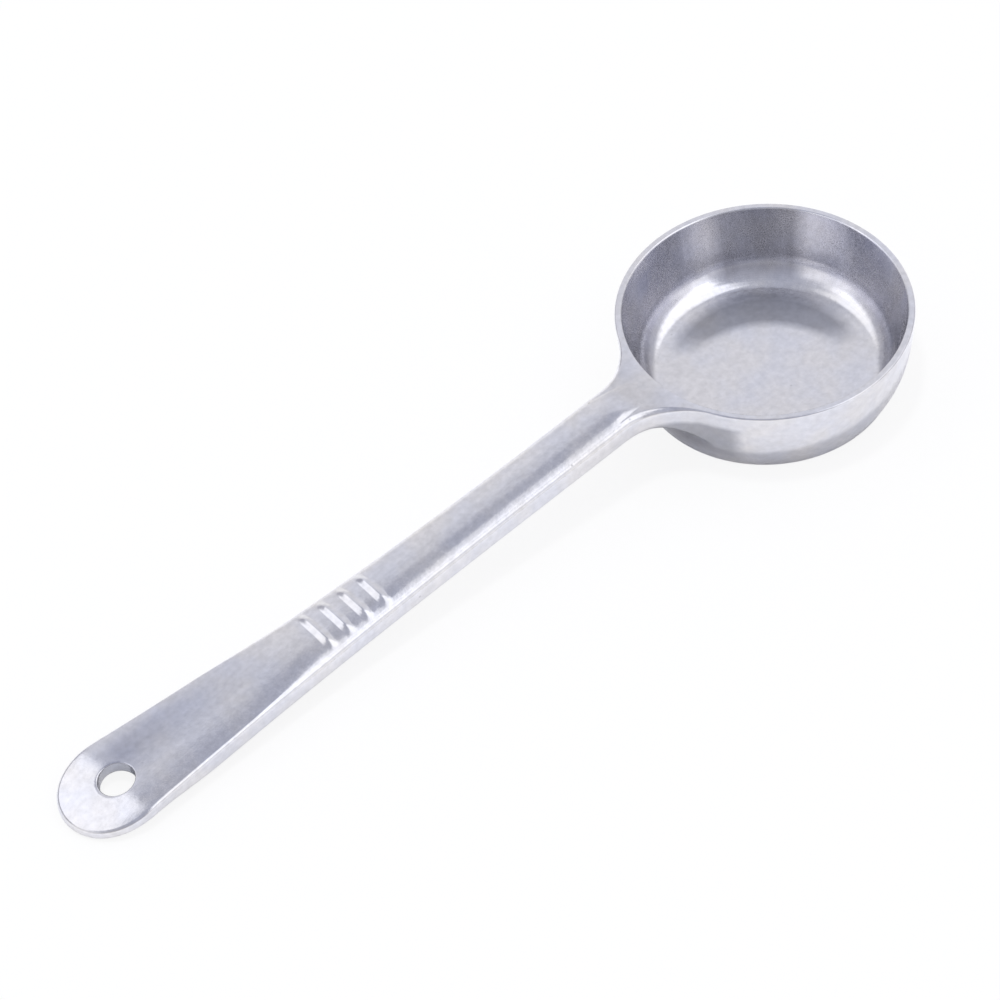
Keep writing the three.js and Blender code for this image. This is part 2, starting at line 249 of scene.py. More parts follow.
class LadleHandleSizes(bpy.types.PropertyGroup):
    """Sizes of the neck and the flat bar"""

    joint_x: length("Neck end", "Distance from the bowl's axis to the end of the neck", HANDLE_LOW.x)
    tip_x: length("Tip", "Distance from the bowl's axis to the end of the bar", HANDLE_HIGH.x)
    neck_width: length("Neck width", "Width of the bar where it leaves the neck", 0.013)
    neck_flare: length("Neck flare", "Radius that spreads the neck into the rim", 0.018)
    neck_rise: length("Neck rise", "How far the neck stands above the rim", 0.00085)
    thickness: length("Thickness", "Thickness of the bar at the neck", 0.0066)
    under_fillet: length("Under fillet", "Radius between the bowl's wall and the bar's underside", 0.009)
    crown: length("Crown", "How much the middle of the bar stands above its edges", 0.0007)
    pad_crown: length("Pad crown", "Crown of the pad", 0.00036)
    pad_edge: length("Pad edge", "Rounding of the pad's upper edge", 0.0009)
    pad_run: length("Pad run", "Length over which the bar flattens into the pad, after the ribs", 0.03)
    crown_power: number("Crown power", "How late the crown falls to the edges", 3.0)
    top_edge: length("Top edge", "Rounding of the bar's upper edge", 0.0022)
    under_edge: length("Under edge", "Rounding of the bar's lower edge", 0.0012)
    pad_width: length("Pad width", "Widest part of the bar", 0.0244)
    pad_length: length("Pad length", "Length of the rounded end", 0.0155)
    widening: number("Widening", "How late the bar widens", 2.4)
    joint_slope: slope("Neck slope", "Slope of the bar at the neck", -0.14)
    bend_x: length("Bend place", "From the bowl's axis to where the end starts to dip", 0.188)
    bend_height: length("Bend height", "Height of the bar's top where it starts to dip", 0.0062)
    bend_slope: slope("Bend slope", "Slope of the bar before the dip", -0.085)
    dip_length: length("Dip length", "Length over which the top bends down", 0.005)
    dip_slope: slope("Dip slope", "Slope of the end's top", -0.22)
    tip_thickness: length("Tip thickness", "Thickness of the bar at its tip", 0.00265)
    thin_x: length("Thinning place", "From the bowl's axis to where the bar starts to thin", 0.17)
    thin_thickness: length("Thinning thickness", "Thickness of the bar there", 0.0054)
    thin_slope: slope("Thinning slope", "Slope of the underside there", -0.085)
    pad_thickness: length("Pad thickness", "Thickness of the bar at its widest place", 0.0038)
    pad_under_slope: slope("Pad under slope", "Slope of the underside at the widest place", -0.09)
    tip_under_slope: slope("Tip under slope", "Slope of the underside at the tip", -0.2)
    rib_count: IntProperty(name="Ribs", description="Grip ribs across the bar", default=4, min=0)
    rib_pitch: length("Rib pitch", "Distance between ribs", 0.0054)
    rib_width: length("Rib width", "Width of one rib at its foot", 0.0032)
    rib_height: length("Rib height", "How far a rib stands up", 0.0005)
    rib_taper: length("Rib taper", "Length over which a rib's end fades away", 0.0035)
    rib_gap: length("Rib gap", "From the end of a rib to the bar's side", 0.0014)
    rib_from_tip: length("Rib place", "From the tip to the nearest rib", 0.0715)
    hole_diameter: length("Hole diameter", "Diameter of the hanging hole", 0.0085)
    hole_from_tip: length("Hole place", "From the tip to the middle of the hole", 0.014)
    hole_edge: length("Hole edge", "Rounding of the hole's upper edge", 0.0004)
    hole_under_edge: length("Hole under edge", "Rounding of the hole's lower edge", 0.0009)


class LadleFinish(bpy.types.PropertyGroup):
    """Colours and texture of the cast aluminium, with its painted reflections, shade, highlight and darker
    patches
    """

    cool: colour("Cool metal", "Colour of the polished metal", (0.635, 0.635, 0.66))
    warm: colour("Warm metal", "Colour of the handled patches", (0.67, 0.655, 0.645))
    roughness: factor("Roughness", "Blur of the tumbled skin", 0.17)
    bump: factor("Bump", "Strength of the skin's relief", 0.09)
    bump_depth: length("Bump depth", "Depth of the skin's relief", 0.0002)
    cloud_size: length("Cloud size", "Size of the warm and cool patches", 0.012)
    mottle_size: length("Mottle size", "Size of the shallow hammered mottle", 0.0016)
    grain_size: length("Grain size", "Size of the tumbled grain", 0.0004)
    wall_streak: length("Wall streak", "Width of the upright streaks inside the bowl", 0.004)
    bar_streak: length("Bar streak", "Width of the polishing streaks along the bar", 0.0012)
    streak_length: length("Streak length", "Length of the streaks", 0.05)
    # Painted dark reflection band on the inner wall: its bearing, and the painted change of tone in it
    band_bearing: degrees("Band bearing", "Bearing of the dull upright band inside the bowl", -127.5)
    painted_band_tone: number("Band tone", "Change of shade in the dull band", -0.28)
    wall_haze: factor("Wall haze", "How much rougher the bowl's inner wall is", 0.05)
    # Painted cool tint that stands in for cool reflections, on the inner wall and on the painted darker
    # places
    cool_reflection_tint: tint("Wall tint", "Cool tint of the bowl's inner wall and of tarnish", (0.975, 0.985, 1.03))
    floor_polish: factor("Floor polish", "How much smoother the bowl's floor is", 0.07)
    # Painted darker crescent on the bowl's floor, and a little painted darkening round the rest of its edge
    floor_darkening: factor("Floor tarnish", "Tarnish of the floor beside its worn middle", 0.5)
    inside_relief: factor("Inside relief", "Share of the relief that polishing took off inside", 0.8)
    # Painted shade on the wall under the neck
    under_neck_shade: factor("Hidden tarnish", "Tarnish of the wall under the neck", 0.42)
    # Painted darker tone on top of the neck
    neck_top_darkening: factor("Neck patina", "Patina on top of the neck", 0.12)
    # Painted highlight on the neck's edges
    neck_highlight: factor("Neck shine", "How much brighter the neck's edges are", 0.44)
    # Painted darker, cooler patch on the far side of the bar's end: how dark, and its tint
    end_patch_darkening: factor("Grip patina", "Patina where fingers hold the bar", 0.36)
    end_patch_tint: tint("Grip tint", "Cool tint where fingers hold the bar", (0.97, 1.0, 1.1))


class LadleStudio(bpy.types.PropertyGroup):
    """Camera, table and lamp"""

    view_azimuth: degrees("Azimuth", "Camera's bearing", 53.9)
    view_elevation: degrees("Elevation", "Camera's angle above the table", 47.757)
    view_roll: degrees("Roll", "Camera's turn about its own line of sight", -4.64)
    view_distance: length("Distance", "From the camera to its target", 1.372694)
    view_target: FloatVectorProperty(
        name="Target",
        description="Point in the middle of the picture",
        default=(0.078229, -0.002894, 0.011),
        subtype="XYZ",
        unit="LENGTH",
    )
    lens: number("Lens", "Focal length in millimetres", 216.0)
    sensor: number("Sensor", "Width of the camera's sensor in millimetres", 36.0)
    floor: colour("Floor", "Colour of the table", (0.8, 0.8, 0.8))
    floor_radius: length("Floor radius", "Radius of the round table", 1.6)
    floor_middle: length("Floor middle", "From the bowl's axis to the middle of the table", 0.08)
    floor_drop: length("Floor drop", "How far the table lies under the ladle", 0.0001)
    floor_boost: number("Floor boost", "How much brighter the metal sees the table", 1.25)
    camera_glow: factor("Camera glow", "Share of plain white that the camera sees on the table", 0.88)
    key_azimuth: degrees("Key azimuth", "Bearing of the table's lamp", 324)
    key_elevation: degrees("Key elevation", "Height of the table's lamp", 84)
    key_angle: degrees("Key angle", "Width of the table's lamp", 7)
    key_strength: number("Key strength", "Light of the table's lamp", 1.05)


def mix(first, second, share):
    """The value that lies a share of the way from the first to the second."""
    return first + (second - first) * share


def steps(count):
    """Shares from 0 to 1 in equal steps."""
    return [index / count for index in range(count + 1)]


def quarter_turn(count):
    """Angles from 0 to a right angle in equal steps."""
    return [share * math.pi / 2 for share in steps(count)]


def smooth_share(share):
    """A share that starts and ends gently."""
    share = min(1.0, max(0.0, share))
    return share * share * (3.0 - 2.0 * share)


def direction(azimuth, elevation):
    """Unit vector towards a bearing and a height, in radians."""
    return Vector((
        math.cos(elevation) * math.cos(azimuth),
        math.cos(elevation) * math.sin(azimuth),
        math.sin(elevation),
    ))


def curve_height(knots, x):
    """Height on a smooth curve through knots of place, height and slope."""
    if x <= knots[0][0]:
        return knots[0][1]
    for (x0, z0, p0), (x1, z1, p1) in zip(knots, knots[1:]):
        if x <= x1:
            run = x1 - x0
            t = (x - x0) / run
            level = (1 + 2 * t) * (1 - t) ** 2 * z0 + t * t * (3 - 2 * t) * z1
            return level + run * t * (1 - t) * ((1 - t) * p0 - t * p1)
    return knots[-1][1]


class Station:
    """A place on the outline in plan, with the way inward and how much of it is bar rather than rim."""

    def __init__(self, point, inward, bar):
        self.point = point
        self.inward = inward
        self.bar = bar


class LadleShape:
    """The ladle's curves in side view and in plan, worked out from the panel's sizes."""

    def __init__(self, bowl, handle):
        self.bowl = bowl
        self.handle = handle
        self.mouth = bowl.rim_radius - bowl.lip_width
        self.wall_top = bowl.height - bowl.lip_edge
        self.neck_half = handle.neck_width / 2
        self.pad_x = handle.tip_x - handle.pad_length
        self.hole_x = handle.tip_x - handle.hole_from_tip
        self.hole_radius = handle.hole_diameter / 2
        self.flare_reach = bowl.rim_radius + handle.neck_flare
        self.flare_y = self.neck_half + handle.neck_flare
        self.flare_x = math.sqrt(self.flare_reach**2 - self.flare_y**2)
        self.wall_points = [self.wall_point(share) for share in steps(CURVE_STEPS)]
        self.set_side_curves()
        self.roll_under_fillet()

    def set_side_curves(self):
        """Sets the knots of the top and the underside, seen from the side."""
        bowl, bar = self.bowl, self.handle
        neck_top = bowl.height + bar.neck_rise
        neck_under = neck_top - bar.thickness
        dip_height = bar.bend_height + bar.dip_length * (bar.bend_slope + bar.dip_slope) / 2
        self.top_knots = (
            (bowl.rim_radius, bowl.height, 0.0),
            (bar.joint_x, neck_top, bar.joint_slope),
            (bar.bend_x, bar.bend_height, bar.bend_slope),
            (bar.bend_x + bar.dip_length, dip_height, bar.dip_slope),
            (bar.tip_x, bar.tip_thickness, bar.dip_slope),
        )
        thin_height = curve_height(self.top_knots, bar.thin_x) - bar.thin_thickness
        pad_height = curve_height(self.top_knots, self.pad_x) - bar.pad_thickness
        self.under_knots = (
            (self.mouth, neck_under, 0.0),
            (bar.joint_x, neck_under, bar.joint_slope),
            (bar.thin_x, thin_height, bar.thin_slope),
            (self.pad_x, pad_height, bar.pad_under_slope),
            (bar.tip_x - bar.under_edge, 0.0, bar.tip_under_slope),
        )

    def wall_point(self, share):
        """Height and radius on the outer wall, from its conical foot round the knee up to the lip."""
        bowl = self.bowl
        foot = Vector((bowl.base_edge, bowl.base_radius))
        knee = Vector((bowl.knee_height, bowl.knee_radius))
        lip = Vector((self.wall_top, bowl.rim_radius))
        foot_end = foot.lerp(knee, bowl.knee_pull)
        lip_end = lip.lerp(knee, bowl.knee_pull)
        lower = foot.lerp(foot_end, share).lerp(foot_end.lerp(lip_end, share), share)
        upper = foot_end.lerp(lip_end, share).lerp(lip_end.lerp(lip, share), share)
        return tuple(lower.lerp(upper, share))

    def wall_radius(self, z):
        """Radius of the outer wall at a height."""
        above = bisect.bisect_left(self.wall_points, (z, 0.0))
        if above == 0:
            return self.bowl.base_radius
        if above == len(self.wall_points):
            return self.bowl.rim_radius
        (low_z, low), (high_z, high) = self.wall_points[above - 1:above + 1]
        return mix(low, high, (z - low_z) / (high_z - low_z))

    def lean(self, z):
        """How far the wall has drawn in from the rim at a height."""
        return self.bowl.rim_radius - self.wall_radius(z)

    def roll_under_fillet(self):
        """Rests the fillet under the neck against the wall, and keeps where it touches."""
        radius = self.handle.under_fillet
        heights = [mix(self.bowl.base_edge, self.wall_top, share) for share in steps(TOUCH_STEPS)]
        near, far = self.mouth, self.handle.joint_x
        for _ in range(HALVINGS):
            self.fillet_x = (near + far) / 2
            self.fillet_z = curve_height(self.under_knots, self.fillet_x) - radius
            gaps = [math.hypot(self.fillet_x - self.wall_radius(z), self.fillet_z - z) for z in heights]
            self.touch_z = heights[gaps.index(min(gaps))]
            if min(gaps) < radius:
                near = self.fillet_x
            else:
                far = self.fillet_x
        self.touch_radius = self.wall_radius(self.touch_z)

    def neck_share(self, x):
        """How far along the neck a place is, from the rim to the bar."""
        return min(1.0, max(0.0, (x - self.mouth) / (self.handle.joint_x - self.mouth)))

    def along(self, x, y):
        """Distance along the side curves, round the rim at first and then along the bar."""
        return mix(math.hypot(x, y), x, self.neck_share(x))

    def pad_share(self, x):
        """How far the bar has flattened into its pad, from the ribs on."""
        return smooth_share((x - self.handle.tip_x + self.handle.rib_from_tip) / self.handle.pad_run)

    def crown_at(self, x, y):
        """Crown of the bar, which fades into the rim and flattens towards the pad."""
        bar = self.handle
        crown = mix(bar.crown, bar.pad_crown, self.pad_share(x))
        return crown * smooth_share(self.neck_share(self.along(x, y)))

    def top_height(self, x, y, out):
        """Height of the top, out a share of the way from the middle to the edge."""
        drop = self.crown_at(x, y) * out**self.handle.crown_power
        return curve_height(self.top_knots, self.along(x, y)) - drop

    def under_height(self, x, y):
        """Height of the underside, with the fillet against the bowl's wall."""
        place = self.along(x, y)
        across = self.fillet_x - place
        if across <= 0:
            return curve_height(self.under_knots, place)
        across = min(across, self.fillet_x - self.touch_radius)
        return self.fillet_z + math.sqrt(self.handle.under_fillet**2 - across**2)

    def bar_half_width(self, x):
        """Half the width of the bar, without its rounded end."""
        share = max(0.0, (x - self.handle.joint_x) / (self.pad_x - self.handle.joint_x))
        return mix(self.neck_half, self.handle.pad_width / 2, share**self.handle.widening)

    def rim_stations(self):
        """Stations round the rim, from the far end to where the neck's flare starts."""
        last = math.atan2(self.flare_y, self.flare_x)
        stations = []
        for share in steps(RIM_COLUMNS):
            angle = mix(math.pi, last, share)
            outward = Vector((math.cos(angle), math.sin(angle)))
            stations.append(Station(outward * self.bowl.rim_radius, -outward, 0.0))
        return stations

    def neck_stations(self):
        """Stations along the flare and the straight end of the neck."""
        start = math.atan2(-self.flare_y, -self.flare_x) + 2 * math.pi
        middle = Vector((self.flare_x, self.flare_y))
        stations = []
        for share in steps(FLARE_COLUMNS):
            angle = mix(start, 1.5 * math.pi, share)
            inward = Vector((math.cos(angle), math.sin(angle)))
            stations.append(Station(middle + inward * self.handle.neck_flare, inward, smooth_share(share)))
        for share in steps(STRAIGHT_COLUMNS)[1:]:
            x = mix(self.flare_x, self.handle.joint_x, share)
            stations.append(Station(Vector((x, self.neck_half)), Vector((0.0, -1.0)), 1.0))
        return stations

    def bar_places(self):
        """Places along the bar, close together where the ribs are."""
        bar = self.handle
        first_rib = bar.tip_x - bar.rib_from_tip - bar.rib_pitch * (bar.rib_count - 1) - bar.rib_width
        last_rib = bar.tip_x - bar.rib_from_tip + bar.rib_width
        places = []
        for start, end, step in (
            (bar.joint_x, first_rib, BAR_STEP),
            (first_rib, last_rib, RIB_STEP),
            (last_rib, self.pad_x, BAR_STEP),
        ):
            count = math.ceil((end - start) / step)
            places += [mix(start, end, share) for share in steps(count)[:-1]]
        return places

    def bar_stations(self):
        """Stations along the bar and round its end."""
        points = [Vector((x, self.bar_half_width(x))) for x in self.bar_places()]
        for angle in quarter_turn(END_COLUMNS):
            x = self.pad_x + self.handle.pad_length * math.sin(angle)
            points.append(Vector((x, self.bar_half_width(x) * math.cos(angle))))
        stations = []
        for index, point in enumerate(points):
            ahead = points[min(index + 1, len(points) - 1)]
            behind = points[max(index - 1, 0)]
            way = (ahead - behind).normalized()
            stations.append(Station(point, Vector((way.y, -way.x)), 1.0))
        stations[0].inward = Vector((0.0, -1.0))
        stations[-1].inward = Vector((-1.0, 0.0))
        return stations

    def under_edge_height(self, station, inset):
        """Height where a station's side meets the underside."""
        wall = 1.0 - station.bar
        low, high = self.touch_z, self.bowl.height
        if wall == 0.0:
            edge = station.point + station.inward * inset
            return self.under_height(edge.x, edge.y)
        for _ in range(HALVINGS):
            z = (low + high) / 2
            edge = station.point + station.inward * (inset + wall * self.lean(z))
            if self.under_height(edge.x, edge.y) > z:
                low = z
            else:
                high = z
        return low

    def edge_rows(self, station):
        """Points from the top's edge, round it and down the side, to the underside's edge."""
        bar, wall = station.bar, 1.0 - station.bar
        point, inward = station.point, station.inward
        under_inset = self.handle.under_edge * bar
        under_z = self.under_edge_height(station, under_inset)
        crown = self.crown_at(point.x, point.y) * bar
        tilt = math.atan2(self.handle.crown_power * crown, self.bar_half_width(point.x))
        bar_edge = mix(self.handle.top_edge, self.handle.pad_edge, self.pad_share(point.x))
        radius = mix(self.bowl.lip_edge, bar_edge, bar)
        edge = point + inward * radius * (1 - math.sin(tilt))
        top_z = self.top_height(edge.x, edge.y, 1.0)
        radius = min(radius, TOP_EDGE_SHARE * (top_z - under_z))
        rows = []
        for share in steps(ROUND_ROWS):
            angle = mix(tilt, math.pi / 2, share)
            inset = radius * (1 - math.sin(angle))
            rows.append((point + inward * inset, top_z - radius * (math.cos(tilt) - math.cos(angle))))
        side_z = rows[-1][1]
        foot = min(self.handle.under_edge, UNDER_EDGE_SHARE * (side_z - under_z))
        for share in steps(SIDE_ROWS)[1:-1]:
            z = mix(side_z, under_z + foot, share)
            rows.append((point + inward * wall * self.lean(z), z))
        for angle in quarter_turn(ROUND_ROWS):
            z = under_z + foot * (1 - math.sin(angle))
            inset = under_inset * (1 - math.cos(angle)) + wall * self.lean(z)
            rows.append((point + inward * inset, z))
        return [(place.x, place.y, z) for place, z in rows]

    def inner_profile(self):
        """Radius and height from the middle of the bowl's dished floor up to the lip's top."""
        bowl = self.bowl
        draft = bowl.inner_draft
        edge_z = bowl.floor_thickness + bowl.floor_dish
        fillet_z = edge_z + bowl.floor_fillet
        foot_z = fillet_z - bowl.floor_fillet * math.sin(draft)
        foot_radius = self.mouth - (self.wall_top - foot_z) * math.tan(draft)
        fillet_radius = foot_radius - bowl.floor_fillet * math.cos(draft)
        tilt = math.atan2(2 * bowl.floor_dish, fillet_radius)
        floor_radius = fillet_radius + bowl.floor_fillet * math.sin(tilt)
        rows = []
        for share in steps(FLOOR_ROWS)[:-1]:
            rows.append((floor_radius * share, bowl.floor_thickness + bowl.floor_dish * share**2))
        lift = edge_z - fillet_z + bowl.floor_fillet * math.cos(tilt)
        for share in steps(FILLET_ROWS)[:-1]:
            angle = mix(tilt - math.pi / 2, -draft, share)
            rows.append((
                fillet_radius + bowl.floor_fillet * math.cos(angle),
                fillet_z + bowl.floor_fillet * math.sin(angle) + lift * (1 - share),
            ))
        for share in steps(WALL_ROWS)[:-1]:
            rows.append((mix(foot_radius, self.mouth, share), mix(foot_z, self.wall_top, share)))
        for angle in quarter_turn(ROUND_ROWS):
            rows.append((
                self.mouth + bowl.lip_edge * (1 - math.cos(angle)),
                self.wall_top + bowl.lip_edge * math.sin(angle),
            ))
        return rows

    def outer_profile(self):
        """Radius and height from the under fillet's touch down the wall to the middle of the base."""
        bowl = self.bowl
        rows = []
        for share in steps(SIDE_ROWS)[:-1]:
            z = mix(self.touch_z, bowl.base_edge, share)
            rows.append((self.wall_radius(z), z))
        for angle in quarter_turn(ROUND_ROWS):
            rows.append((
                bowl.base_radius - bowl.base_edge * (1 - math.cos(angle)),
                bowl.base_edge * (1 - math.sin(angle)),
            ))
        flat = rows[-1][0]
        rows += [(flat * (1 - share), 0.0) for share in steps(FLOOR_ROWS)[1:]]
        return rows

    def rib_height(self, x, y):
        """How far the grip ribs lift the bar's top at a place."""
        bar = self.handle
        fade = smooth_share((self.bar_half_width(x) - bar.rib_gap - abs(y)) / bar.rib_taper)
        lift = 0.0
        for index in range(bar.rib_count):
            along = x - (bar.tip_x - bar.rib_from_tip - bar.rib_pitch * index)
            away = abs(along) / (bar.rib_width / 2)
            if away < 1.0:
                lift += bar.rib_height * fade * (0.5 + 0.5 * math.cos(math.pi * away))
        return lift

    def hole_place(self, angle, radius, depth):
        """A place on the hanging hole's wall, which leans with the bar's slope."""
        bar = self.handle
        lean = (bar.bend_slope + bar.dip_slope) / 2 * depth * bar.pad_thickness
        return self.hole_x + lean + radius * math.cos(angle), radius * math.sin(angle)


def turned(angle, profile):
    """A profile of radius and height at an angle about the bowl's axis."""
    return [(radius * math.cos(angle), radius * math.sin(angle), z) for radius, z in profile]


def bowl_grids(shape):
    """Grids of points over half of the bowl and its neck, which share their edges."""
    stations = shape.rim_stations() + shape.neck_stations()[1:]
    sides = [shape.edge_rows(station) for station in stations]
    top_edge, under_edge = sides[-1][0], sides[-1][-1]
    across = [1 - share for share in steps(ACROSS_ROWS)[1:]]
    tops = [(side[0][0], side[0][1], 1.0) for side in sides]
    tops += [(top_edge[0], top_edge[1] * share, share) for share in across]
    unders = [(side[-1][0], side[-1][1]) for side in sides]
    unders += [(under_edge[0], under_edge[1] * share) for share in across]
    inner, lip = [], []
    for x, y, out in tops:
        angle = math.atan2(y, x)
        column = turned(angle, shape.inner_profile())
        inner.append(column)
        lip.append(lip_column(shape, column[-1], (x, y), out))
    outer = [turned(math.atan2(y, x), shape.outer_profile()) for x, y in unders]
    neck = [neck_under_column(shape, place) for place in unders[RIM_COLUMNS + 1:]]
    neck.insert(0, [outer[RIM_COLUMNS][0]] * len(neck[0]))
    return inner, lip, sides, neck, outer


def across_column(start, end, height):
    """Points from a start to a place in plan, each as high as its place and its share of the way say."""
    column = [start]
    for share in steps(ACROSS_ROWS)[1:]:
        x, y = mix(start[0], end[0], share), mix(start[1], end[1], share)
        column.append((x, y, height(x, y, share)))
    return column


def lip_column(shape, start, end, out):
    """Points over the top from the lip's inner edge to the outline's edge."""
    return across_column(start, end, lambda x, y, _: shape.top_height(x, y, out))


def neck_under_column(shape, place):
    """Points under the neck from the outline's edge in to the bowl's wall."""
    angle = math.atan2(place[1], place[0])
    reach = math.hypot(place[0], place[1])
    radius = shape.handle.under_fillet
    last = math.acos((shape.fillet_x - shape.touch_radius) / radius)
    last = math.copysign(last, shape.touch_z - shape.fillet_z)
    arc = radius * (math.pi / 2 - last)
    if reach > shape.fillet_x:
        full = arc + reach - shape.fillet_x
    else:
        full = radius * (math.acos((shape.fillet_x - reach) / radius) - last)
    column = []
    for share in steps(FILLET_ROWS)[:-1]:
        left = full * (1 - share)
        if left > arc:
            away = shape.fillet_x + left - arc
        else:
            away = shape.fillet_x - radius * math.cos(last + left / radius)
        x, y = away * math.cos(angle), away * math.sin(angle)
        column.append((x, y, shape.under_height(x, y)))
    touch = (shape.touch_radius * math.cos(angle), shape.touch_radius * math.sin(angle), shape.touch_z)
    return column + [touch]


def handle_grids(shape):
    """Grids of points over half of the bar, from the neck's end to the tip."""
    stations = shape.bar_stations()
    front = shape.hole_x - shape.hole_radius - HOLE_MARGIN
    first_angle = None
    top, side, under, hole = [], [], [], []
    for station in stations:
        rows = shape.edge_rows(station)
        side.append(rows)
        x, y = station.point
        if x < front:
            top.append(bar_top_column(shape, rows[0], (x, 0.0)))
            under.append(bar_under_column(shape, rows[-1], (x, 0.0)))
            continue
        angle = math.atan2(y, x - shape.hole_x)
        if first_angle is None:
            first_angle = angle
        angle *= math.pi / first_angle
        wide = shape.hole_radius + shape.handle.hole_edge
        under_wide = shape.hole_radius + shape.handle.hole_under_edge
        top.append(bar_top_column(shape, rows[0], shape.hole_place(angle, wide, 0.0)))
        under.append(bar_under_column(shape, rows[-1], shape.hole_place(angle, under_wide, 1.0)))
        hole.append(hole_column(shape, angle))
    return top, side, under, hole


def bar_top_column(shape, start, end):
    """Points over the bar's top from its edge to the middle or to the hole."""
    return across_column(
        start, end, lambda x, y, share: shape.top_height(x, y, 1 - share) + shape.rib_height(x, y)
    )


def bar_under_column(shape, start, end):
    """Points over the bar's underside from its edge to the middle or to the hole."""
    return across_column(start, end, lambda x, y, _: shape.under_height(x, y))


def hole_column(shape, angle):
    """Points down the wall of the hanging hole, over its two rounded edges."""
    edge, under_edge = shape.handle.hole_edge, shape.handle.hole_under_edge
    wide = shape.hole_radius + edge
    under_wide = shape.hole_radius + under_edge
    x, y = shape.hole_place(angle, wide, 0.0)
    top_z = shape.top_height(x, y, 0.0)
    x, y = shape.hole_place(angle, under_wide, 1.0)
    under_z = shape.under_height(x, y)
    rows = []
    for turn in quarter_turn(ROUND_ROWS):
        rows.append((wide - edge * math.sin(turn), top_z - edge * (1 - math.cos(turn))))
    for turn in quarter_turn(ROUND_ROWS):
        rows.append((under_wide - under_edge * math.cos(turn), under_z + under_edge * (1 - math.sin(turn))))
    column = []
    for wall, z in rows:
        depth = (top_z - z) / (top_z - under_z)
        x, y = shape.hole_place(angle, wall, depth)
        column.append((x, y, z))
    return column


def add_grid(bm, columns, part):
    """Adds quads through the columns of points, and their mirror image across the middle plane."""
    for side in (1, -1):
        grid = [[bm.verts.new((x, side * y, z)) for x, y, z in column] for column in columns]
        for left, right in zip(grid, grid[1:]):
            for row in range(len(left) - 1):
                face = bm.faces.new((left[row], left[row + 1], right[row + 1], right[row]))
                face.material_index = part
                face.smooth = True


def cast_skin(shape):
    """The whole casting as one closed skin, whose faces know if they are bowl or handle."""
    bm = bmesh.new()
    for grid in bowl_grids(shape):
        add_grid(bm, grid, BOWL_FACES)
    for grid in handle_grids(shape):
        add_grid(bm, grid, HANDLE_FACES)
    bmesh.ops.remove_doubles(bm, verts=bm.verts, dist=WELD_DISTANCE)
    bmesh.ops.recalc_face_normals(bm, faces=bm.faces)
    open_edges = [edge for edge in bm.edges if len(edge.link_faces) != 2]
    if open_edges:
        raise RuntimeError(f"the casting's skin has {len(open_edges)} open edges")
    bm.normal_update()
    return bm


def cast_piece(name, shape, part, node, material):
    """Makes the bowl or the handle out of the skin, closed where the two meet and smooth across it."""
    bm = cast_skin(shape)
    normal = bm.verts.layers.float_vector.new("cast_normal")
    for vert in bm.verts:
        vert[normal] = vert.normal
    others = [face for face in bm.faces if face.material_index != part]
    bmesh.ops.delete(bm, geom=others, context="FACES")
    rim = [edge for edge in bm.edges if edge.is_boundary]
    caps = bmesh.ops.edgeloop_fill(bm, edges=rim)["faces"]
    bmesh.ops.recalc_face_normals(bm, faces=bm.faces)
    bm.normal_update()
    normals = []
    for face in bm.faces:
        face.material_index = 0
        normals += [face.normal.copy() if face in caps else vert[normal].copy() for vert in face.verts]
    bm.verts.layers.float_vector.remove(normal)
    mesh = bpy.data.meshes.new(name)
    bm.to_mesh(mesh)
    bm.free()
    mesh.normals_split_custom_set(normals)
    mesh.materials.append(material)
    piece = bpy.data.objects.new(name, mesh)
    bpy.context.scene.collection.objects.link(piece)
    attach(piece, "root")
    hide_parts(node)


def add_node(tree, kind, place, **values):
    """Adds a node and sets its properties, and its inputs by their names."""
    node = tree.nodes.new(kind)
    node.location = place
    for name, value in values.items():
        if hasattr(node, name):
            setattr(node, name, value)
        else:
            node.inputs[name.replace("_", " ")].default_value = value
    return node


def join(tree, source, output, target, socket):
    """Links one node's output to another's input."""
    tree.links.new(source.outputs[output], target.inputs[socket])


def math_node(tree, operation, first, second=None):
    """Adds a Math node fed by sockets or numbers, and gives its output."""
    node = add_node(tree, "ShaderNodeMath", (0, 0), operation=operation)
    for index, value in enumerate((first, second)):
        if isinstance(value, bpy.types.NodeSocket):
            tree.links.new(value, node.inputs[index])
        elif value is not None:
            node.inputs[index].default_value = value
    return node.outputs[0]


def product(tree, first, *others):
    """All the values multiplied."""
    for value in others:
        first = math_node(tree, "MULTIPLY", first, value)
    return first


def total(tree, first, *others):
    """All the values added."""
    for value in others:
        first = math_node(tree, "ADD", first, value)
    return first


def less(tree, first, second):
    """The first value without the second."""
    return math_node(tree, "SUBTRACT", first, second)


def absolute(tree, value):
    """A value without its sign."""
    return math_node(tree, "ABSOLUTE", value)


def distance(tree, first, second):
    """Length of the flat vector with these two parts."""
    return math_node(tree, "SQRT", total(tree, product(tree, first, first), product(tree, second, second)))


def spread(tree, value, span, new_low, new_high):
    """Maps a span of a value onto a new range, held at its ends."""
    low, high = span
    node = add_node(
        tree, "ShaderNodeMapRange", (-400, 0), From_Min=low, From_Max=high, To_Min=new_low, To_Max=new_high
    )
    tree.links.new(value, node.inputs["Value"])
    return node.outputs["Result"]


def rise(tree, value, span):
    """0 before a span of a value and 1 after it."""
    return spread(tree, value, span, 0.0, 1.0)


def fall(tree, value, span):
    """1 before a span of a value and 0 after it."""
    return spread(tree, value, span, 1.0, 0.0)


def soft_step(tree, value, place, edge):
    """Rises smoothly from 0 to 1 where a value passes a place."""
    step = add_node(tree, "ShaderNodeMapRange", (0, 0), interpolation_type="SMOOTHSTEP")
    tree.links.new(value, step.inputs["Value"])
    tree.links.new(less(tree, place, edge), step.inputs["From Min"])
    tree.links.new(total(tree, place, edge), step.inputs["From Max"])
    return step.outputs["Result"]


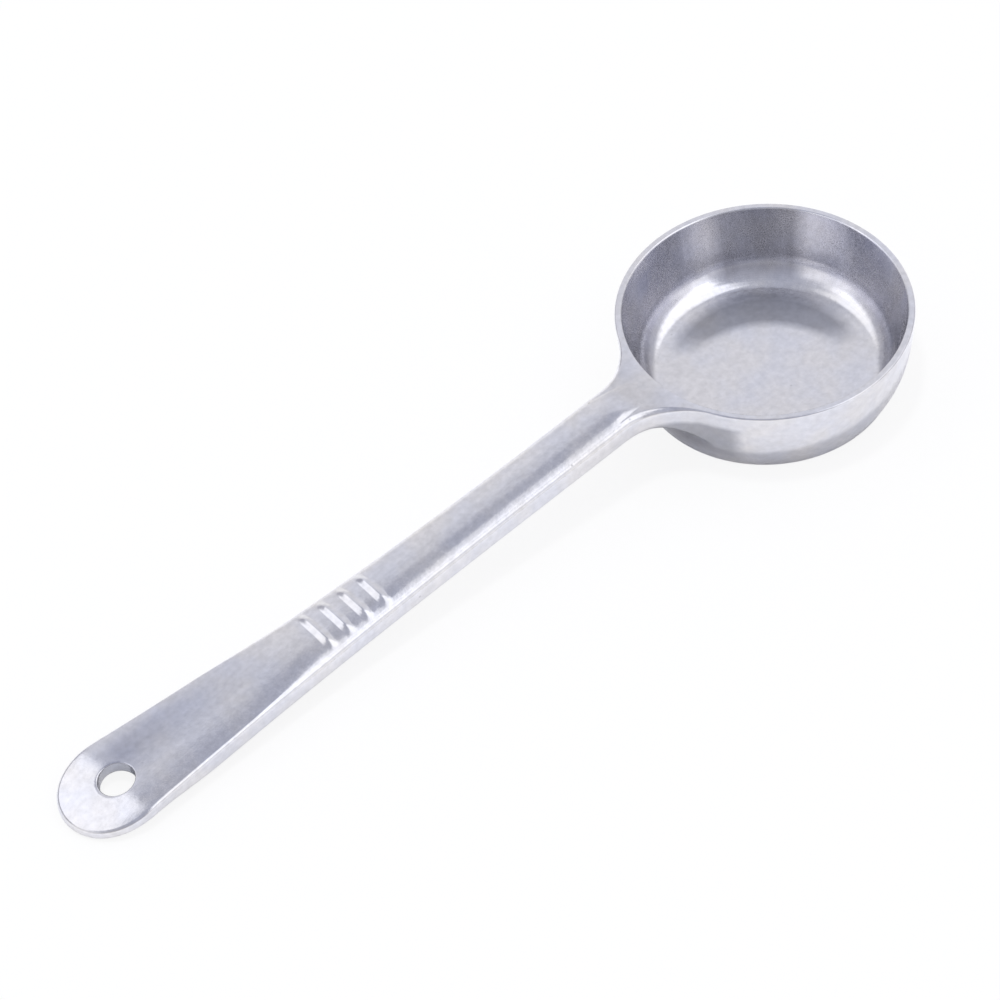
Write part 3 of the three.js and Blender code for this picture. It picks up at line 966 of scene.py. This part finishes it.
def blend_colours(tree, share, first, second):
    """Mixes two colours by a share."""
    node = add_node(tree, "ShaderNodeMix", (0, 300), data_type="RGBA")
    for socket, source in zip((node.inputs[0], node.inputs[6], node.inputs[7]), (share, first, second)):
        tree.links.new(source, socket)
    return node.outputs[2]


def scaled_colour(tree, source, shade):
    """A colour made lighter or darker by a value."""
    node = add_node(tree, "ShaderNodeVectorMath", (200, 300), operation="SCALE")
    tree.links.new(source, node.inputs[0])
    tree.links.new(shade, node.inputs["Scale"])
    return node.outputs["Vector"]


def tinted_colour(tree, source, share, multiplier):
    """A colour multiplied by a tint, as far as the share says."""
    node = add_node(tree, "ShaderNodeMix", (100, 300), data_type="RGBA", blend_type="MULTIPLY")
    node.inputs[7].default_value = (*multiplier, 1.0)
    tree.links.new(share, node.inputs[0])
    tree.links.new(source, node.inputs[6])
    return node.outputs[2]


def new_group(name, inputs, outputs):
    """Makes a node group from its inputs' defaults and its outputs' kinds, and gives it with its ends."""
    group = bpy.data.node_groups.new(name, "ShaderNodeTree")
    for label, default in inputs.items():
        kind = VALUE_SOCKET if isinstance(default, float) else COLOUR_SOCKET
        socket = group.interface.new_socket(name=label, in_out="INPUT", socket_type=kind)
        socket.default_value = default
    for label, kind in outputs.items():
        group.interface.new_socket(name=label, in_out="OUTPUT", socket_type=kind)
    inlet = add_node(group, "NodeGroupInput", (-1300, 0))
    outlet = add_node(group, "NodeGroupOutput", (900, 0))
    return group, inlet, outlet


def tumbled_skin_group():
    """Clouds, shallow mottle, fine grain and pores of tumbled cast aluminium."""
    name = "Tumbled Skin"
    if name in bpy.data.node_groups:
        return bpy.data.node_groups[name]
    scales = {"Cloud Scale": 80.0, "Mottle Scale": 600.0, "Grain Scale": 2500.0}
    group, inlet, outlet = new_group(
        name,
        {"Cool": WHITE, "Warm": WHITE, **scales, "Roughness": 0.2},
        {"Colour": COLOUR_SOCKET, "Roughness": VALUE_SOCKET, "Height": VALUE_SOCKET},
    )
    cloud = skin_noise(group, inlet.outputs["Cloud Scale"], CLOUD_DETAIL)
    mottle = skin_noise(group, inlet.outputs["Mottle Scale"], FINE_DETAIL)
    grain = skin_noise(group, inlet.outputs["Grain Scale"], FINE_DETAIL)
    pore = skin_pores(group, inlet.outputs["Mottle Scale"])
    patch = rise(group, cloud, CLOUD_SPAN)
    metal = blend_colours(group, patch, inlet.outputs["Cool"], inlet.outputs["Warm"])
    shade = less(group, spread(group, mottle, NOISE_SPAN, *MOTTLE_SHADES), product(group, pore, PORE_SHADE))
    group.links.new(scaled_colour(group, metal, shade), outlet.inputs["Colour"])
    cloud_blur = spread(group, cloud, NOISE_SPAN, *CLOUD_BLUR)
    grain_blur = spread(group, grain, NOISE_SPAN, *GRAIN_BLUR)
    blur = total(group, inlet.outputs["Roughness"], cloud_blur, grain_blur)
    group.links.new(blur, outlet.inputs["Roughness"])
    relief = total(group, mottle, product(group, grain, GRAIN_HEIGHT))
    group.links.new(less(group, relief, product(group, pore, PORE_DEPTH)), outlet.inputs["Height"])
    return group


def skin_noise(tree, scale, detail):
    """A soft noise over the object's surface."""
    place = add_node(tree, "ShaderNodeTexCoord", (-1000, 300))
    noise = add_node(tree, "ShaderNodeTexNoise", (-800, 300), Detail=detail, Roughness=NOISE_ROUGHNESS)
    join(tree, place, "Object", noise, "Vector")
    tree.links.new(scale, noise.inputs["Scale"])
    return noise.outputs["Fac"]


def skin_pores(tree, scale):
    """Mask of the few small pores that casting leaves."""
    place = add_node(tree, "ShaderNodeTexCoord", (-1000, -300))
    cells = add_node(tree, "ShaderNodeTexVoronoi", (-800, -300))
    join(tree, place, "Object", cells, "Vector")
    tree.links.new(product(tree, scale, PORE_SCALE), cells.inputs["Scale"])
    luck = add_node(tree, "ShaderNodeSeparateColor", (-600, -400))
    join(tree, cells, "Color", luck, "Color")
    chosen = math_node(tree, "GREATER_THAN", luck.outputs["Red"], PORE_LUCK)
    return product(tree, fall(tree, cells.outputs["Distance"], PORE_EDGE), chosen)


def streak_group():
    """Tone of long soft streaks, from a place across and along them."""
    name = "Polish Streaks"
    if name in bpy.data.node_groups:
        return bpy.data.node_groups[name]
    measures = {"Across": 0.0, "Along": 0.0, "Width": 0.002, "Length": 0.05}
    group, inlet, outlet = new_group(name, measures, {"Tone": VALUE_SOCKET})
    place = add_node(group, "ShaderNodeCombineXYZ", (-400, 0))
    for socket, way, measure in (("X", "Across", "Width"), ("Y", "Along", "Length")):
        share = math_node(group, "DIVIDE", inlet.outputs[way], inlet.outputs[measure])
        group.links.new(share, place.inputs[socket])
    noise = add_node(group, "ShaderNodeTexNoise", (-200, 0), Scale=1.0, Detail=3.0, Roughness=0.6)
    join(group, place, "Vector", noise, "Vector")
    group.links.new(rise(group, noise.outputs["Fac"], NOISE_SPAN), outlet.inputs["Tone"])
    return group


def streak_tone(tree, across, along, width, stretch):
    """Tone of streaks of a width and a length."""
    node = add_node(tree, "ShaderNodeGroup", (-700, -300), node_tree=streak_group())
    node.inputs["Width"].default_value = width
    node.inputs["Length"].default_value = stretch
    tree.links.new(across, node.inputs["Across"])
    tree.links.new(along, node.inputs["Along"])
    return node.outputs["Tone"]


def object_axes(tree):
    """The three coordinates of a place on the piece."""
    place = add_node(tree, "ShaderNodeTexCoord", (-1300, -300))
    split = add_node(tree, "ShaderNodeSeparateXYZ", (-1100, -300))
    join(tree, place, "Object", split, "Vector")
    return split.outputs["X"], split.outputs["Y"], split.outputs["Z"]


def facing(tree):
    """How far the surface faces away from the bowl's axis, and how far up."""
    x, y, _ = object_axes(tree)
    bearing = math_node(tree, "ARCTAN2", y, x)
    form = add_node(tree, "ShaderNodeNewGeometry", (-1300, -600))
    normal = add_node(tree, "ShaderNodeSeparateXYZ", (-1100, -600))
    join(tree, form, "True Normal", normal, "Vector")
    along_x = product(tree, normal.outputs["X"], math_node(tree, "COSINE", bearing))
    along_y = product(tree, normal.outputs["Y"], math_node(tree, "SINE", bearing))
    return total(tree, along_x, along_y), normal.outputs["Z"]


def band_axes(tree, finish):
    """How far a place lies towards the side of the bowl with the painted dark reflection band, and how far to
    the side of it.
    """
    x, y, _ = object_axes(tree)
    way = direction(finish.band_bearing, 0.0)
    far = total(tree, product(tree, x, way.x), product(tree, y, way.y))
    side = less(tree, product(tree, x, way.y), product(tree, y, way.x))
    return far, side


def under_neck_shade_mask(tree, outward, up):
    """1 on the wall below the neck, where shade is painted, and 0 elsewhere."""
    x, y, z = object_axes(tree)
    bearing = absolute(tree, math_node(tree, "ARCTAN2", y, x))
    return product(
        tree,
        fall(tree, bearing, UNDER_NECK_BEARING),
        fall(tree, z, UNDER_NECK_TOP),
        rise(tree, z, UNDER_NECK_FOOT),
        fall(tree, x, UNDER_NECK_REACH),
        rise(tree, less(tree, outward, up), UNDER_NECK_FACING),
    )


def neck_highlight_mask(tree, up):
    """1 on the rounded top edges of the neck, where a highlight is painted, and 0 elsewhere."""
    x, y, z = object_axes(tree)
    return product(
        tree,
        rise(tree, x, HIGHLIGHT_START),
        rise(tree, absolute(tree, y), HIGHLIGHT_SIDE),
        rise(tree, z, HIGHLIGHT_FOOT),
        rise(tree, up, HIGHLIGHT_STEEP),
        fall(tree, up, HIGHLIGHT_LEVEL),
    )


def top_of_neck(tree, up):
    """1 on top of the neck, between the rim and the bar, where a darker tone is painted, and 0 elsewhere."""
    x, _, _ = object_axes(tree)
    return product(tree, rise(tree, x, NECK_START), fall(tree, x, NECK_END), rise(tree, up, NECK_FACING))


def bowl_floor(tree, base_radius, up):
    """1 on the bowl's floor and 0 elsewhere."""
    x, y, z = object_axes(tree)
    edge = [share * base_radius for share in FLOOR_EDGE]
    inside = fall(tree, distance(tree, x, y), edge)
    return product(tree, inside, fall(tree, z, FLOOR_TOP), rise(tree, up, FLOOR_FACING))


def floor_crescent(tree, finish):
    """1 in the painted darker crescent beside the floor's plain circle, a little round the rest of it, and 0
    in it.
    """
    far, side = band_axes(tree, finish)
    away = distance(tree, total(tree, far, PLAIN_CIRCLE_SHIFT), side)
    return product(tree, rise(tree, away, PLAIN_CIRCLE_EDGE), spread(tree, far, CRESCENT_SPAN, CRESCENT_REST, 1.0))


def wall_bands(tree, finish, mouth):
    """Fine upright streaks round the bowl, the tone of its painted dark and bright reflection bands, and
    where the painted cool tint goes.
    """
    _, _, z = object_axes(tree)
    far, side = band_axes(tree, finish)
    turn = math_node(tree, "ARCTAN2", side, far)
    streaks = streak_tone(tree, product(tree, turn, mouth), z, finish.wall_streak, finish.streak_length)
    away = absolute(tree, turn)
    # Painted reflection tone: dark in the band, with lighter and darker steps away from it
    tone = finish.painted_band_tone
    for start, end, change in BAND_STEPS:
        step = rise(tree, away, (math.radians(start), math.radians(end)))
        tone = total(tree, product(tree, step, change), tone)
    # Where the painted cool reflection tint goes: all the wall but the warmer flanks
    cool = rise(tree, absolute(tree, less(tree, away, FLANK_BEARING)), FLANK_EDGE)
    return streaks, tone, cool


def bar_streaks(tree, finish):
    """Streaks along the bar, from 0 to 1."""
    x, y, z = object_axes(tree)
    return streak_tone(tree, total(tree, y, z), x, finish.bar_streak, finish.streak_length)


def bar_end_darkening(tree, finish):
    """Share of the painted darker, cooler patch on the far side of the bar's end."""
    x, y, _ = object_axes(tree)
    return product(
        tree,
        rise(tree, x, END_PATCH_START),
        fall(tree, x, END_PATCH_END),
        spread(tree, y, END_PATCH_FAR, END_PATCH_FAR_REST, 1.0),
        spread(tree, y, END_PATCH_MIDDLE, finish.end_patch_darkening, END_PATCH_NEAR_REST),
    )


def cast_aluminium(name, finish):
    """Tumbled cast aluminium, whose streaks are added by the piece that uses it."""
    material = bpy.data.materials.new(name)
    material.use_nodes = True
    tree = material.node_tree
    tree.nodes.clear()
    skin = add_node(tree, "ShaderNodeGroup", (-700, 0), node_tree=tumbled_skin_group())
    skin.inputs["Cool"].default_value = (*finish.cool, 1.0)
    skin.inputs["Warm"].default_value = (*finish.warm, 1.0)
    skin.inputs["Cloud Scale"].default_value = 1.0 / finish.cloud_size
    skin.inputs["Mottle Scale"].default_value = 1.0 / finish.mottle_size
    skin.inputs["Grain Scale"].default_value = 1.0 / finish.grain_size
    skin.inputs["Roughness"].default_value = finish.roughness
    return material, tree, skin


def finish_metal(tree, finish, base, roughness, height):
    """Joins a colour, a roughness and a height to the metal's shader."""
    bump = add_node(tree, "ShaderNodeBump", (-200, -200), Strength=finish.bump, Distance=finish.bump_depth)
    metal = add_node(tree, "ShaderNodeBsdfPrincipled", (100, 0), Metallic=1.0)
    end = add_node(tree, "ShaderNodeOutputMaterial", (400, 0))
    tree.links.new(base, metal.inputs["Base Color"])
    tree.links.new(roughness, metal.inputs["Roughness"])
    tree.links.new(height, bump.inputs["Height"])
    join(tree, bump, "Normal", metal, "Normal")
    join(tree, metal, "BSDF", end, "Surface")


def bowl_metal(finish, shape):
    """Metal of the bowl: a hazy inner wall with streaks and painted reflection bands, a smoother floor, and
    painted shade, highlight and darker tones by the neck and on the floor.
    """
    material, tree, skin = cast_aluminium("cast_bowl", finish)
    outward, up = facing(tree)
    wall = fall(tree, outward, WALL_FACING)
    floor = bowl_floor(tree, shape.bowl.base_radius, up)
    streaks, painted_band_tone, cool = wall_bands(tree, finish, shape.mouth)
    # Painted darkening: the floor's crescent, the shade under the neck and the darker top of the neck
    darkening = total(
        tree,
        product(tree, floor, floor_crescent(tree, finish), finish.floor_darkening),
        product(tree, under_neck_shade_mask(tree, outward, up), finish.under_neck_shade),
        product(tree, top_of_neck(tree, up), finish.neck_top_darkening),
    )
    # Painted reflection bands, with the wall's real streaks
    wall_tone = total(tree, painted_band_tone, spread(tree, streaks, FULL_TONE, *WALL_STREAK_SHADES))
    # Painted highlight on the neck's edges
    painted_highlight = product(tree, neck_highlight_mask(tree, up), finish.neck_highlight)
    shade = less(tree, total(tree, painted_highlight, 1.0, product(tree, wall_tone, wall)), darkening)
    # Share of the painted cool tint: the wall, and the painted darker places
    share = math_node(tree, "MAXIMUM", product(tree, wall, cool), product(tree, darkening, DARKENING_COOLING))
    base = tinted_colour(tree, skin.outputs["Colour"], share, finish.cool_reflection_tint)
    haze = product(tree, wall, finish.wall_haze)
    polish = product(tree, floor, finish.floor_polish)
    roughness = less(tree, total(tree, skin.outputs["Roughness"], haze), polish)
    inside = math_node(tree, "MAXIMUM", wall, floor)
    relief = less(tree, 1.0, product(tree, inside, finish.inside_relief))
    grain = product(tree, skin.outputs["Height"], relief)
    ridges = product(tree, streaks, wall, WALL_STREAK_HEIGHT)
    finish_metal(tree, finish, scaled_colour(tree, base, shade), roughness, total(tree, grain, ridges))
    return material


def handle_metal(finish):
    """Metal of the bar, polished lengthwise, with a painted darker, cooler patch on the far side of its end.
    """
    material, tree, skin = cast_aluminium("cast_handle", finish)
    streaks = bar_streaks(tree, finish)
    end_patch = bar_end_darkening(tree, finish)
    shade = product(tree, spread(tree, streaks, FULL_TONE, *BAR_STREAK_SHADES), less(tree, 1.0, end_patch))
    share = product(tree, end_patch, END_PATCH_COOLING)
    base = tinted_colour(tree, skin.outputs["Colour"], share, finish.end_patch_tint)
    height = total(tree, skin.outputs["Height"], product(tree, streaks, BAR_STREAK_HEIGHT))
    finish_metal(tree, finish, scaled_colour(tree, base, shade), skin.outputs["Roughness"], height)
    return material


def studio_floor(studio):
    """A pale round table with the ladle's soft shadow on it."""
    bm = bmesh.new()
    bmesh.ops.create_circle(bm, cap_ends=True, radius=studio.floor_radius, segments=TABLE_CORNERS)
    bmesh.ops.translate(bm, verts=bm.verts, vec=(studio.floor_middle, 0.0, -studio.floor_drop))
    mesh = bpy.data.meshes.new("studio_floor")
    bm.to_mesh(mesh)
    bm.free()
    floor = bpy.data.objects.new("studio_floor", mesh)
    bpy.context.scene.collection.objects.link(floor)
    mesh.materials.append(floor_material(studio))


def floor_material(studio):
    """A matt table that looks almost white to the camera and to the metal, and keeps the ladle's shadow."""
    material = bpy.data.materials.new("pale_table")
    material.use_nodes = True
    tree = material.node_tree
    tree.nodes.clear()
    path = add_node(tree, "ShaderNodeLightPath", (-900, 200))
    tone = add_node(tree, "ShaderNodeMix", (-500, 100), data_type="RGBA")
    tone.inputs[6].default_value = (*studio.floor, 1.0)
    tone.inputs[7].default_value = (*[studio.floor_boost * value for value in studio.floor], 1.0)
    share = product(tree, path.outputs["Is Camera Ray"], studio.camera_glow)
    matt = add_node(tree, "ShaderNodeBsdfDiffuse", (-250, 0))
    white = add_node(tree, "ShaderNodeEmission", (-250, -150), Color=WHITE, Strength=1.0)
    tree.links.new(path.outputs["Is Glossy Ray"], tone.inputs[0])
    tree.links.new(tone.outputs[2], matt.inputs["Color"])
    end = add_node(tree, "ShaderNodeOutputMaterial", (200, 0))
    blend_shaders(tree, share, matt, white, end)
    return material


def blend_shaders(tree, share, first, second, end):
    """Leads the mix of two shaders by a share to the output."""
    blend = add_node(tree, "ShaderNodeMixShader", (50, 0))
    tree.links.new(share, blend.inputs[0])
    tree.links.new(first.outputs[0], blend.inputs[1])
    tree.links.new(second.outputs[0], blend.inputs[2])
    tree.links.new(blend.outputs[0], end.inputs["Surface"])


def window_group():
    """Mask of a bright window in the dome, given by its bearing, its half width and its two heights."""
    angles = {"Bearing": 0.0, "Half Width": 0.5, "Low": 0.5, "High": 1.0, "Edge": 0.1}
    group, inlet, outlet = new_group("Studio Window", angles, {"Mask": VALUE_SOCKET})
    place = add_node(group, "ShaderNodeTexCoord", (-1300, 300))
    split = add_node(group, "ShaderNodeSeparateXYZ", (-1100, 300))
    join(group, place, "Generated", split, "Vector")
    bearing = math_node(group, "ARCTAN2", split.outputs["Y"], split.outputs["X"])
    turn = less(group, bearing, inlet.outputs["Bearing"])
    sine = math_node(group, "SINE", turn)
    cosine = math_node(group, "COSINE", turn)
    away = absolute(group, math_node(group, "ARCTAN2", sine, cosine))
    height = math_node(group, "ARCSINE", split.outputs["Z"])
    beside = soft_step(group, away, inlet.outputs["Half Width"], inlet.outputs["Edge"])
    above = soft_step(group, height, inlet.outputs["Low"], inlet.outputs["Edge"])
    beyond = soft_step(group, height, inlet.outputs["High"], inlet.outputs["Edge"])
    mask = product(group, less(group, above, beyond), less(group, 1.0, beside))
    group.links.new(mask, outlet.inputs["Mask"])
    return group


def window_light(tree):
    """Light of all the studio's windows."""
    window = window_group()
    glows = []
    for bearing, half, low, high, edge, strength in STUDIO_WINDOWS:
        pane = add_node(tree, "ShaderNodeGroup", (-700, -200), node_tree=window)
        angles = {"Bearing": bearing, "Half Width": half, "Low": low, "High": high, "Edge": edge}
        for name, angle in angles.items():
            pane.inputs[name].default_value = math.radians(angle)
        glows.append(product(tree, pane.outputs["Mask"], strength))
    return total(tree, *glows)


def studio_world():
    """A dome that is white at the table and cool and dim above, with soft bright windows."""
    world = bpy.data.worlds.new("studio_dome")
    bpy.context.scene.world = world
    world.use_nodes = True
    tree = world.node_tree
    tree.nodes.clear()
    place = add_node(tree, "ShaderNodeTexCoord", (-1100, 0))
    split = add_node(tree, "ShaderNodeSeparateXYZ", (-900, 100))
    ramp = add_node(tree, "ShaderNodeValToRGB", (-700, 100))
    join(tree, place, "Generated", split, "Vector")
    join(tree, split, "Z", ramp, "Fac")
    stops = ramp.color_ramp.elements
    stops.new(DOME_TONES[1][0])
    for stop, (height, tone) in zip(stops, DOME_TONES):
        stop.position = height
        stop.color = tone
    light = add_node(tree, "ShaderNodeVectorMath", (-400, 0), operation="ADD")
    join(tree, ramp, "Color", light, 0)
    tree.links.new(window_light(tree), light.inputs[1])
    dome = add_node(tree, "ShaderNodeBackground", (-200, 0), Strength=1.0)
    join(tree, light, "Vector", dome, "Color")
    white = add_node(tree, "ShaderNodeBackground", (-200, -150), Color=WHITE, Strength=1.0)
    path = add_node(tree, "ShaderNodeLightPath", (-200, 350))
    end = add_node(tree, "ShaderNodeOutputWorld", (250, 0))
    blend_shaders(tree, path.outputs["Is Camera Ray"], dome, white, end)


def studio_key(studio):
    """A soft lamp for the table alone, whose shadow of the ladle shows in the metal."""
    data = bpy.data.lights.new("studio_key", "SUN")
    data.energy = studio.key_strength
    data.angle = studio.key_angle
    lamp = bpy.data.objects.new("studio_key", data)
    lamp.visible_glossy = False
    way = direction(studio.key_azimuth, studio.key_elevation)
    lamp.matrix_world = Matrix.Translation(way) @ way.to_track_quat("Z", "Y").to_matrix().to_4x4()
    bpy.context.scene.collection.objects.link(lamp)


def studio_camera(studio):
    """The camera at the viewing angle of the picture."""
    way = direction(studio.view_azimuth, studio.view_elevation)
    data = bpy.data.cameras.new("studio_camera")
    data.sensor_width = studio.sensor
    data.lens = studio.lens
    camera = bpy.data.objects.new("studio_camera", data)
    turn = way.to_track_quat("Z", "Y").to_matrix().to_4x4() @ Matrix.Rotation(studio.view_roll, 4, "Z")
    place = Vector(studio.view_target) + way * studio.view_distance
    camera.matrix_world = Matrix.Translation(place) @ turn
    bpy.context.scene.collection.objects.link(camera)
    bpy.context.scene.camera = camera


class LADLE_OT_add_bowl(bpy.types.Operator):
    """Builds the round bowl with the neck that the bar grows from"""

    bl_idname = "ladle.add_bowl"
    bl_label = "Add Bowl"

    def execute(self, context):
        scene = context.scene
        shape = LadleShape(scene.ladle_bowl, scene.ladle_handle)
        metal = bowl_metal(scene.ladle_finish, shape)
        cast_piece("ladle_bowl", shape, BOWL_FACES, "bowl", metal)
        return {"FINISHED"}


class LADLE_OT_add_handle(bpy.types.Operator):
    """Builds the flat bar with its grip ribs and hanging hole"""

    bl_idname = "ladle.add_handle"
    bl_label = "Add Handle"

    def execute(self, context):
        scene = context.scene
        shape = LadleShape(scene.ladle_bowl, scene.ladle_handle)
        metal = handle_metal(scene.ladle_finish)
        cast_piece("ladle_handle", shape, HANDLE_FACES, "handle", metal)
        return {"FINISHED"}


class LADLE_OT_add_studio(bpy.types.Operator):
    """Sets up the table, the dome, the lamp and the camera"""

    bl_idname = "ladle.add_studio"
    bl_label = "Add Studio"

    def execute(self, context):
        scene = context.scene
        scene.view_settings.view_transform = "Standard"
        studio_floor(scene.ladle_studio)
        studio_world()
        studio_key(scene.ladle_studio)
        studio_camera(scene.ladle_studio)
        return {"FINISHED"}


class LADLE_PT_sidebar(bpy.types.Panel):
    """Lists the ladle's sizes, finish and studio"""

    bl_idname = "LADLE_PT_sidebar"
    bl_label = "Serving Ladle"
    bl_space_type = "VIEW_3D"
    bl_region_type = "UI"
    bl_category = "Ladle"

    def draw(self, context):
        scene = context.scene
        for title, settings, operator in (
            ("Bowl", scene.ladle_bowl, "ladle.add_bowl"),
            ("Handle", scene.ladle_handle, "ladle.add_handle"),
            ("Finish", scene.ladle_finish, None),
            ("Studio", scene.ladle_studio, "ladle.add_studio"),
        ):
            box = self.layout.box()
            box.label(text=title)
            for name in settings.__annotations__:
                box.prop(settings, name)
            if operator:
                box.operator(operator)


CLASSES = (
    LadleBowlSizes,
    LadleHandleSizes,
    LadleFinish,
    LadleStudio,
    LADLE_OT_add_bowl,
    LADLE_OT_add_handle,
    LADLE_OT_add_studio,
    LADLE_PT_sidebar,
)


def register():
    for cls in CLASSES:
        bpy.utils.register_class(cls)
    bpy.types.Scene.ladle_bowl = PointerProperty(type=LadleBowlSizes)
    bpy.types.Scene.ladle_handle = PointerProperty(type=LadleHandleSizes)
    bpy.types.Scene.ladle_finish = PointerProperty(type=LadleFinish)
    bpy.types.Scene.ladle_studio = PointerProperty(type=LadleStudio)


def unregister():
    del bpy.types.Scene.ladle_studio
    del bpy.types.Scene.ladle_finish
    del bpy.types.Scene.ladle_handle
    del bpy.types.Scene.ladle_bowl
    for cls in reversed(CLASSES):
        bpy.utils.unregister_class(cls)


def main():
    register()
    bpy.ops.ladle.add_studio()
    bpy.ops.ladle.add_bowl()
    bpy.ops.ladle.add_handle()


if __name__ == "__main__":
    main()
